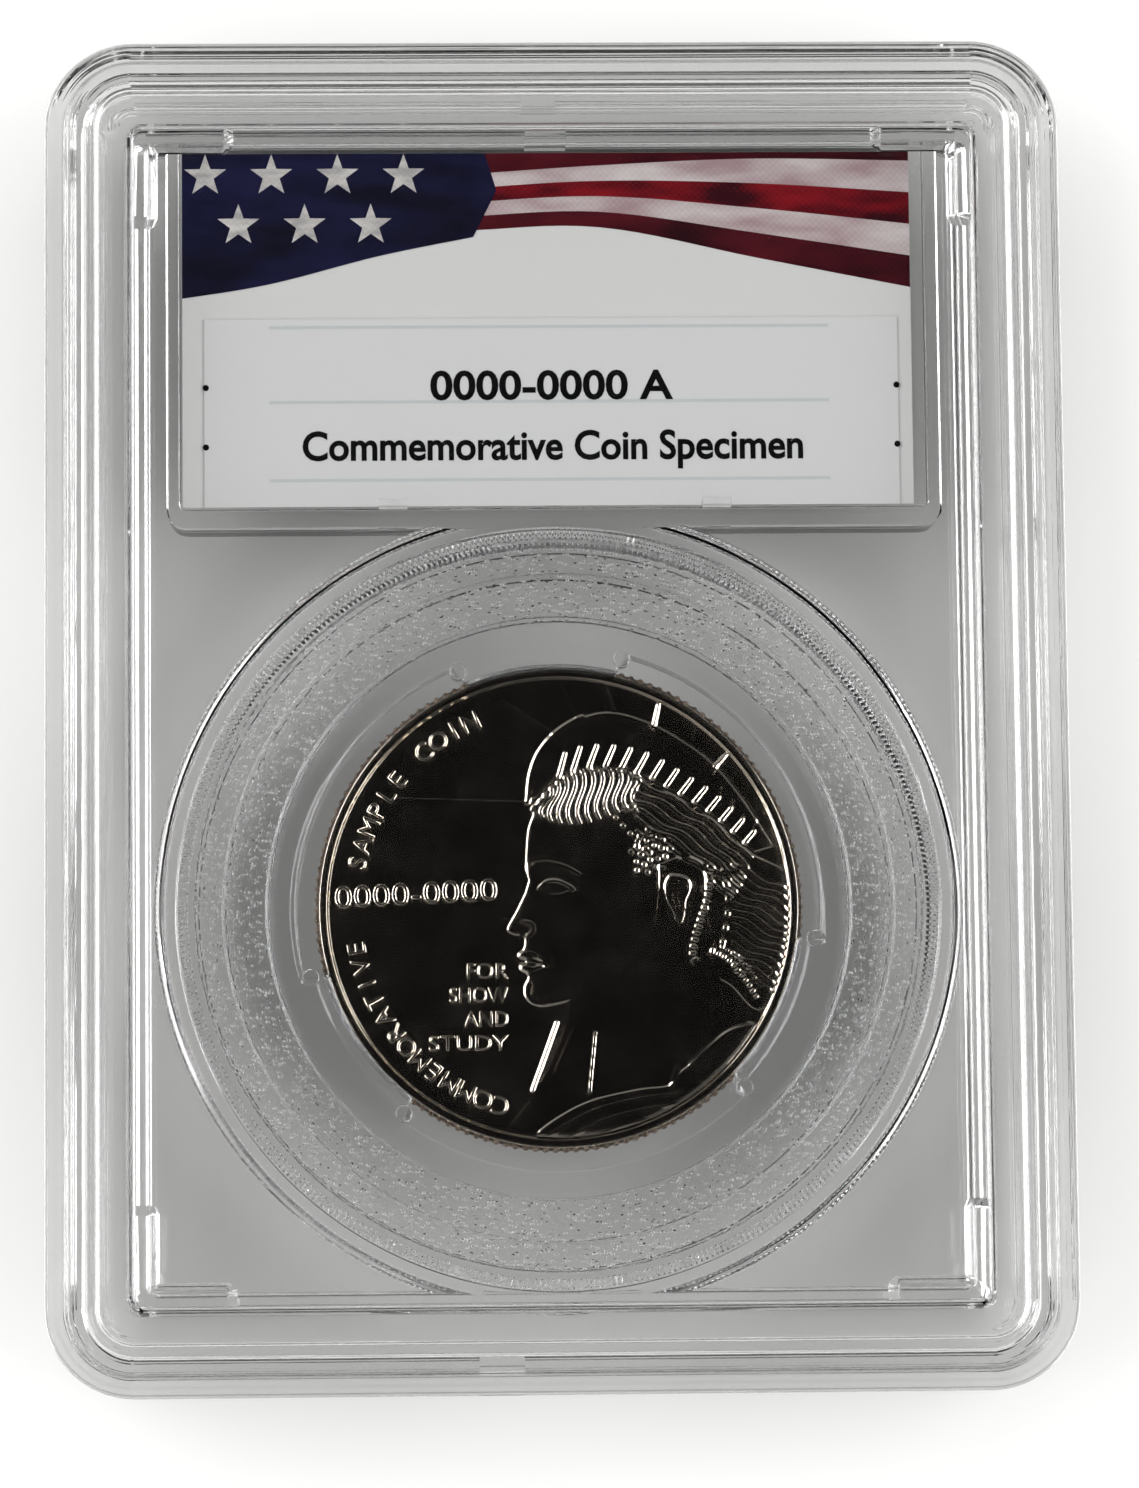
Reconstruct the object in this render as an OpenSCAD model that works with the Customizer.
// Coin slab: a flat two-shell case of clear plastic that holds one coin in a pronged ring, with a paper
// label in a pocket above it. The case lies on its back: +Z out of the front, +Y towards the label end.
// The origin is the centre of the back face.

/* [Case] */
// Width of the case
slab_w = 64; // [62.5:0.5:66]
// Height of the case, from the bottom edge to the label end
slab_h = 85; // [84.5:0.5:88]
// Thickness of the closed case
slab_t = 8; // [7.8:0.1:9]
// Radius of the outline's corners
corner_r = 5.6; // [4:0.1:6.5]
// Thickness of the two windows
window_t = 1.2; // [1:0.1:1.3]
// How far each window lies below its rim
window_recess = 0.9; // [0.8:0.05:0.95]

/* [Rim] */
// Width of the lowered shoulder round each face
shoulder_w = 1.3; // [1:0.1:1.5]
// Distance from the outline to the inner edge of the front's stacking ridge
ridge_in = 3.3; // [3:0.1:4]
// Thickness of the outer wall
outer_wall = 1.5; // [1.3:0.1:1.6]
// Thickness of the tongue of the front shell
tongue_t = 0.8; // [0.6:0.1:0.9]
// How far the tongue reaches below the parting plane
tongue_depth = 1.1; // [0.8:0.1:1.2]
// Distance from the outline to the window's inner wall
rim_w = 6.3; // [6:0.1:6.4]
// Length of each arm of the stacking corners
corner_arm = 6.4; // [5:0.2:8]

/* [Coin] */
// Diameter of the coin
coin_d = 30.61; // [30:0.01:31]
// Thickness of the coin at its rim
coin_t = 2.15; // [2:0.05:2.2]
// Height of the coin's centre above the bottom edge
coin_height = 30.25; // [30.25:0.05:30.6]
// Angle of the first of the three prongs
prong_start = 94; // [0:1:119]
// Angle that each prong spans
prong_span = 38; // [30:1:45]

/* [Label] */
// Width of the label card
card_w = 46.3; // [44:0.1:46.3]
// Height of the label card
card_h = 23; // [22:0.1:23]
// How far the loose card lies towards the left of its pocket
card_shift = 0.35; // [0:0.05:0.35]

/* [Hidden] */
$fn = 96;

clear = [0.86, 0.89, 0.90, 0.35];
eps = 0.01;
parting = slab_t / 2;
gap = 0.05;                                    // air left between inner walls that face each other
rim_plate = 1.3;                               // thickness of the rim's flat faces
back_floor = window_recess + window_t;         // inner face of the back window
front_ceiling = slab_t - back_floor;           // inner face of the front window
min_corner = 0.8;                              // smallest corner radius of the inner outlines

tongue_in = outer_wall + 0.1;                  // the tongue, measured in from the outline
tongue_out = tongue_in + tongue_t;
groove_wall = [tongue_out + 0.1, tongue_out + 0.9];
groove_floor = parting - tongue_depth - 0.1;
tub_t = 1;                                     // wall round the inner space
tub_in = rim_w - tub_t;
rim_drop = 0.5;                                // the shoulder and the ledge lie this far below the ridge
window_in = 5.6;                               // the recess of each window starts here
corner_rib_w = 1.6;
corner_rib_top = slab_t - 0.1;

coin_y = coin_height - slab_h / 2;
pocket_r = 23.9;                               // round pocket of the insert ring
pocket_wall = 0.9;
ring_r = pocket_r - 0.1;
ring_bottom = back_floor + gap;
ring_top = front_ceiling - gap;
bore_r = 16.45;
ring_steps = [[bore_r, 18.25, 0.7], [18.25, 20.95, 0.45], [20.95, 22.65, 0.2], [22.65, ring_r, 0]];
prong_root = bore_r + 0.6;                     // the prongs run this far out, into the ring
prong_gap = 0.03;
prong_lip = 0.35;                              // how far each prong reaches over the coin's rim
lip_t = 0.3;

coin_r = coin_d / 2;
coin_bottom = parting - coin_t / 2;
coin_top = parting + coin_t / 2;
clad_t = 0.375;                                // each clad layer at the coin's rim
field_drop = 0.2;                              // the coin's field lies this far below its rim
coin_rim_w = 0.7;

frame_in = 23.6;                               // half the width of the label pocket
frame_t = 0.8;
frame_bottom = [slab_h / 2 - 30.8, slab_h / 2 - 29.5];   // lower wall of the label pocket
frame_corner = 1.2;
frame_top = slab_h / 2 - rim_w + tub_t / 2;    // the frame's sides end inside the wall of the inner space
shelf_w = 1;
shelf_z = parting - 0.6;
card_t = 0.35;
card_y = frame_bottom[1] + 0.05;
sticker = [44, 12.1, 0.08];
sticker_place = [-0.1, card_y + 0.2];          // its centre in x, and its lower edge
nub_x = 10.2;                                  // two nubs keep the card's lower edge down
nub = [1.8, 0.5];

// Gaps left in the walls where the mould's gates and vents were: centre x, width, wall insets, side
back_gaps = [[-0.8, 2.2, groove_wall, 1], [-0.4, 2.6, [tub_in, rim_w], 1], [0.6, 2.2, [tub_in, rim_w], -1]];
front_gaps = [[-3.8, 2.8, [tongue_in, tongue_out], -1], [-0.4, 2.6, [tub_in, rim_w], 1]];
gap_depth = 0.6;

// Outline of the case, drawn in by a distance all round
module outline(inset) {
    w = slab_w - 2 * inset;
    h = slab_h - 2 * inset;
    r = max(corner_r - inset, min_corner);
    square([w - 2 * r, h], center = true);
    square([w, h - 2 * r], center = true);
    for (x = [-1, 1], y = [-1, 1])
        translate([x * (w / 2 - r), y * (h / 2 - r)]) circle(r);
}

// Solid slice of the case, from height z0 to z1
module slice(inset, z0, z1) {
    translate([0, 0, z0]) linear_extrude(z1 - z0) outline(inset);
}

// Wall that runs all round the case between two insets
module wall(from, to, z0, z1) {
    translate([0, 0, z0]) linear_extrude(z1 - z0) difference() {
        outline(from);
        outline(to);
    }
}

// Slot across a wall at the label end (side 1) or the bottom edge (side -1)
module wall_gap(spec, z0, z1) {
    near = slab_h / 2 - spec[2][1] - eps;
    depth = spec[2][1] - spec[2][0] + 2 * eps;
    translate([spec[0] - spec[1] / 2, spec[3] > 0 ? near : -near - depth, z0])
        cube([spec[1], depth, z1 - z0]);
}

// Round wall that the insert ring sits in
module pocket_wall(z0, z1) {
    translate([0, coin_y, z0]) cylinder(r = pocket_r + pocket_wall, h = z1 - z0);
}

module pocket_bore(z0, z1) {
    translate([0, coin_y, z0]) cylinder(r = pocket_r, h = z1 - z0);
}

// Plan of the label pocket's wall: two sides and a lower wall with rounded corners
module label_frame_plan() {
    out = frame_in + frame_t;
    straight = out - frame_corner;
    difference() {
        union() {
            translate([-out, frame_bottom[0] + frame_corner])
                square([2 * out, frame_top - frame_bottom[0] - frame_corner]);
            translate([-straight, frame_bottom[0]]) square([2 * straight, 3 * frame_corner]);
            for (x = [-1, 1]) translate([x * straight, frame_bottom[0] + frame_corner]) circle(frame_corner);
        }
        translate([-frame_in, frame_bottom[1]]) square([2 * frame_in, slab_h]);
    }
}

module label_frame(z0, z1) {
    translate([0, 0, z0]) linear_extrude(z1 - z0) label_frame_plan();
}

// Shelf inside the label pocket that the card lies on
module label_shelf() {
    long = frame_top - frame_bottom[1];
    translate([0, 0, back_floor - eps]) linear_extrude(shelf_z - back_floor + eps) difference() {
        translate([-frame_in - eps, frame_bottom[1] - eps]) square([2 * (frame_in + eps), long]);
        translate([-frame_in + shelf_w, frame_bottom[1] + shelf_w])
            square([2 * (frame_in - shelf_w), long - 2.5 * shelf_w]);
    }
}

// Raised L in the right-hand label corner of the front window; four of them locate the next case in a stack
module stacking_corner() {
    x = slab_w / 2 - window_in;
    y = slab_h / 2 - window_in;
    r = corner_rib_w / 2;
    z0 = slab_t - window_recess - eps;
    translate([x, y, z0]) linear_extrude(corner_rib_top - z0) {
        translate([r - corner_arm, -corner_rib_w]) square([corner_arm - r, corner_rib_w]);
        translate([-corner_rib_w, r - corner_arm]) square([corner_rib_w, corner_arm - r]);
        translate([r - corner_arm, -r]) circle(r);
        translate([-r, r - corner_arm]) circle(r);
    }
}

module back_shell() {
    wall_top = parting - gap;
    color(clear) difference() {
        union() {
            slice(0, 0, rim_plate);
            slice(tub_in, window_recess, back_floor);
            wall(0, outer_wall, rim_plate - eps, parting);
            wall(outer_wall - eps, groove_wall[0] + eps, rim_plate - eps, groove_floor);
            wall(groove_wall[0], groove_wall[1], rim_plate - eps, wall_top);
            wall(tub_in, rim_w, rim_plate - eps, wall_top);
            pocket_wall(back_floor - eps, wall_top);
            label_frame(back_floor - eps, wall_top);
            label_shelf();
        }
        slice(window_in, -1, window_recess);
        wall(-1, shoulder_w, -1, rim_drop);
        pocket_bore(back_floor, slab_t);
        wall_gap(back_gaps[0], groove_floor, slab_t);
        for (i = [1, 2]) wall_gap(back_gaps[i], shelf_z, slab_t);
    }
}

module front_shell() {
    rim_under = slab_t - rim_plate;
    color(clear) difference() {
        union() {
            slice(0, rim_under, slab_t);
            slice(tub_in, front_ceiling, slab_t - window_recess);
            wall(0, tongue_out, parting, rim_under + eps);
            wall(tongue_in, tongue_out, parting - tongue_depth, parting + eps);
            wall(tub_in, rim_w, parting, rim_under + eps);
            pocket_wall(parting, front_ceiling + eps);
            label_frame(parting, front_ceiling + eps);
            for (x = [-1, 1])
                translate([x * nub_x - nub[0] / 2, frame_bottom[1] - eps, parting])
                    cube([nub[0], nub[1], front_ceiling - parting + eps]);
        }
        wall(-1, shoulder_w, slab_t - rim_drop, slab_t + 1);
        slice(ridge_in, slab_t - rim_drop, slab_t + 1);
        slice(window_in, slab_t - window_recess, slab_t + 1);
        pocket_bore(0, front_ceiling);
        wall_gap(front_gaps[0], 0, parting);
        wall_gap(front_gaps[1], 0, parting + gap_depth);
    }
    color(clear) for (x = [0, 1], y = [0, 1]) mirror([x, 0, 0]) mirror([0, y, 0]) stacking_corner();
}

// One inward pad of the insert ring: it touches the coin's edge and its lip reaches over the coin's rim
module prong(angle) {
    reach = 3 * bore_r;
    half = prong_span / 2;
    intersection() {
        union() {
            translate([0, 0, coin_bottom]) linear_extrude(coin_top + prong_gap + eps - coin_bottom)
                difference() {
                    circle(prong_root);
                    circle(coin_r + prong_gap);
                }
            translate([0, 0, coin_top + prong_gap]) linear_extrude(lip_t) difference() {
                circle(prong_root);
                circle(coin_r - prong_lip);
            }
        }
        linear_extrude(slab_t) polygon([
            [0, 0],
            [reach * cos(angle - half), reach * sin(angle - half)],
            [reach * cos(angle + half), reach * sin(angle + half)]
        ]);
    }
}

// Stepped ring between the two windows, with its three prongs
module insert_ring() {
    mid = (ring_bottom + ring_top) / 2;
    half = (ring_top - ring_bottom) / 2;
    // Each step: its inner and outer radius, and how far it lies below the ring's highest face
    upper = [for (step = ring_steps, r = [step[0], step[1]]) [r, mid + half - step[2]]];
    lower = [for (i = [len(upper) - 1:-1:0]) [upper[i][0], 2 * mid - upper[i][1]]];
    color([0.88, 0.90, 0.90, 0.4]) translate([0, coin_y, 0]) {
        rotate_extrude() polygon(concat(upper, lower));
        for (i = [0:2]) prong(prong_start + 120 * i);
    }
}

module coin_core() {
    color("peru") translate([0, coin_y, coin_bottom + clad_t]) cylinder(r = coin_r, h = coin_t - 2 * clad_t);
}

// Outer layer of the coin, drawn with its field down: a thin disc with the raised rim
module clad_layer() {
    rotate_extrude() polygon([
        [0, 0], [coin_r, 0], [coin_r, clad_t], [coin_r - coin_rim_w, clad_t],
        [coin_r - coin_rim_w, clad_t - field_drop], [0, clad_t - field_drop]
    ]);
}

module coin_front_clad() {
    color("silver") translate([0, coin_y, coin_top - clad_t]) clad_layer();
}

module coin_back_clad() {
    color("silver") translate([0, coin_y, coin_bottom + clad_t]) mirror([0, 0, 1]) clad_layer();
}

module label_card() {
    color("white") translate([-card_w / 2 - card_shift, card_y, shelf_z]) cube([card_w, card_h, card_t]);
}

module title_sticker() {
    color("white") translate([sticker_place[0] - sticker[0] / 2, sticker_place[1], shelf_z + card_t])
        cube(sticker);
}

back_shell();
front_shell();
insert_ring();
coin_core();
coin_front_clad();
coin_back_clad();
label_card();
title_sticker();
